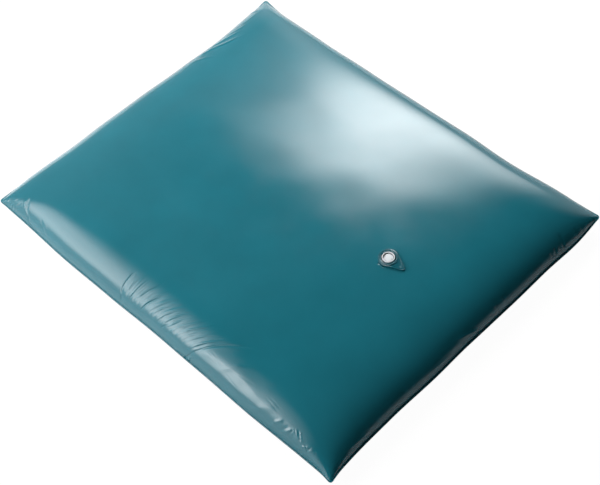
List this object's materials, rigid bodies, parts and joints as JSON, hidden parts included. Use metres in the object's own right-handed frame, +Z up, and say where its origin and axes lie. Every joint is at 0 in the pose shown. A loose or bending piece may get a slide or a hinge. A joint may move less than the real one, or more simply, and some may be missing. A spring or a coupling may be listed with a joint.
{
  "type": "waterbed mattress bladder",
  "caption": "Rectangular water-filled vinyl waterbed bladder with welded edge, pinched corners and a capped filling valve near its foot end.",
  "frame": {"origin": "middle of the bladder's box on the floor it lies on", "axes": "+X along the long side towards the foot end with the valve, +Y across, +Z up"},
  "size_m": [1.8, 1.51, 0.1795],
  "materials": {
    "teal_vinyl": "glossy calendered vinyl sheet",
    "collar_vinyl": "glossy moulded vinyl",
    "white_plastic": "satin white injection-moulded plastic",
    "seal_rubber": "matte seal rubber",
    "white_fleece": "thick polyester fleece",
    "white_webbing": "flat woven webbing",
    "clear_water": null
  },
  "bodies": {
    "bladder": {"top_sheet": "teal_vinyl", "bottom_sheet": "teal_vinyl", "water_fill": "clear_water", "valve_collar": "collar_vinyl", "fleece_layer_1": "white_fleece", "fleece_layer_2": "white_fleece", "fleece_layer_3": "white_fleece", "fleece_layer_4": "white_fleece", "fleece_band_1": "white_webbing", "fleece_band_2": "white_webbing", "fleece_band_3": "white_webbing", "corner_tether_1": "white_webbing", "corner_tether_2": "white_webbing", "corner_tether_3": "white_webbing", "corner_tether_4": "white_webbing", "anchor_tab_1": "teal_vinyl", "anchor_tab_2": "teal_vinyl", "anchor_tab_3": "teal_vinyl", "anchor_tab_4": "teal_vinyl"},
    "neck": {"valve_neck": "white_plastic"},
    "plug": {"valve_plug": "white_plastic"},
    "cap_seal": {"cap_washer": "seal_rubber"},
    "cap": {"valve_cap": "white_plastic"}
  },
  "joints": [
    {"name": "neck_pull", "type": "slide", "parent": "bladder", "child": "neck", "axis": [0, 0, 1], "range_m": [0, 0.025]},
    {"name": "cap_lift", "type": "slide", "parent": "neck", "child": "cap_seal", "axis": [0, 0, 1], "range_m": [0, 0.06]},
    {"name": "cap_turn", "type": "hinge", "parent": "cap_seal", "child": "cap", "pos_m": [0.477, 0.015, 0.17], "axis": [0, 0, 1], "range_deg": [0, 540]},
    {"name": "plug_pull", "type": "slide", "parent": "neck", "child": "plug", "axis": [0, 0, 1], "range_m": [0, 0.027]}
  ],
  "couplings": [
    {"joint": "plug_pull", "follows": "cap_lift", "ratio": 0.45}
  ]
}
